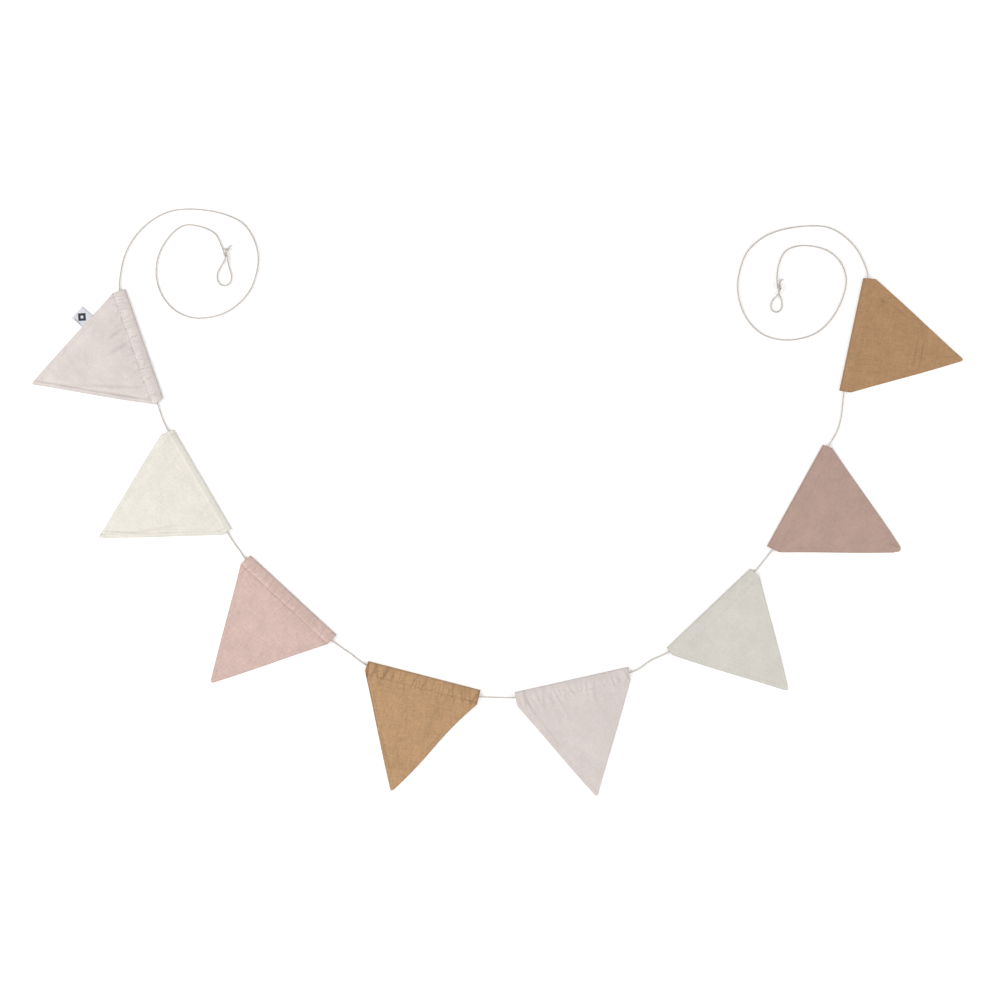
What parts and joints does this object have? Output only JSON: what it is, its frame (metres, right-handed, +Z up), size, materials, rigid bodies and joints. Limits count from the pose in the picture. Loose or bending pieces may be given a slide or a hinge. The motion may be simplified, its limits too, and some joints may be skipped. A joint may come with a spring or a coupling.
{
  "type": "fabric bunting",
  "caption": "String of triangular cloth pennants on a thin cotton cord, laid flat in a U with a swirl of cord and a knotted hanging loop at each end.",
  "frame": {"origin": "middle of the pennants' outline, on the surface they lie on", "axes": "+X from the first pennant to the last, +Y towards the open end of the U, +Z up out of the surface, towards a viewer of the cloth's face"},
  "size_m": [1.284, 0.8102, 0.0048],
  "materials": {
    "cloth_lilac": "matte plain-weave cotton, pale greyish lilac",
    "cloth_ivory": "matte plain-weave cotton, ivory",
    "cloth_rose": "matte plain-weave cotton, dusty rose",
    "cloth_camel": "matte plain-weave cotton, camel",
    "cloth_stone": "matte plain-weave cotton, pale stone",
    "cloth_mauve": "matte plain-weave cotton, dusty mauve",
    "cloth_camel_dark": "matte plain-weave cotton, darker camel",
    "cord_cotton": "matte twisted cotton cord, natural",
    "label_tape": "smooth woven tape, white with a dark motif"
  },
  "bodies": {
    "root": {"flag_1": "cloth_lilac", "flag_2": "cloth_ivory", "flag_3": "cloth_rose", "flag_4": "cloth_camel", "flag_5": "cloth_lilac", "flag_6": "cloth_stone", "flag_7": "cloth_mauve", "flag_8": "cloth_camel_dark", "cord": "cord_cotton", "knot_left": "cord_cotton", "knot_right": "cord_cotton", "loop_left": "cord_cotton", "loop_right": "cord_cotton", "tail_left": "cord_cotton", "tail_right": "cord_cotton", "label": "label_tape"}
  },
  "joints": []
}
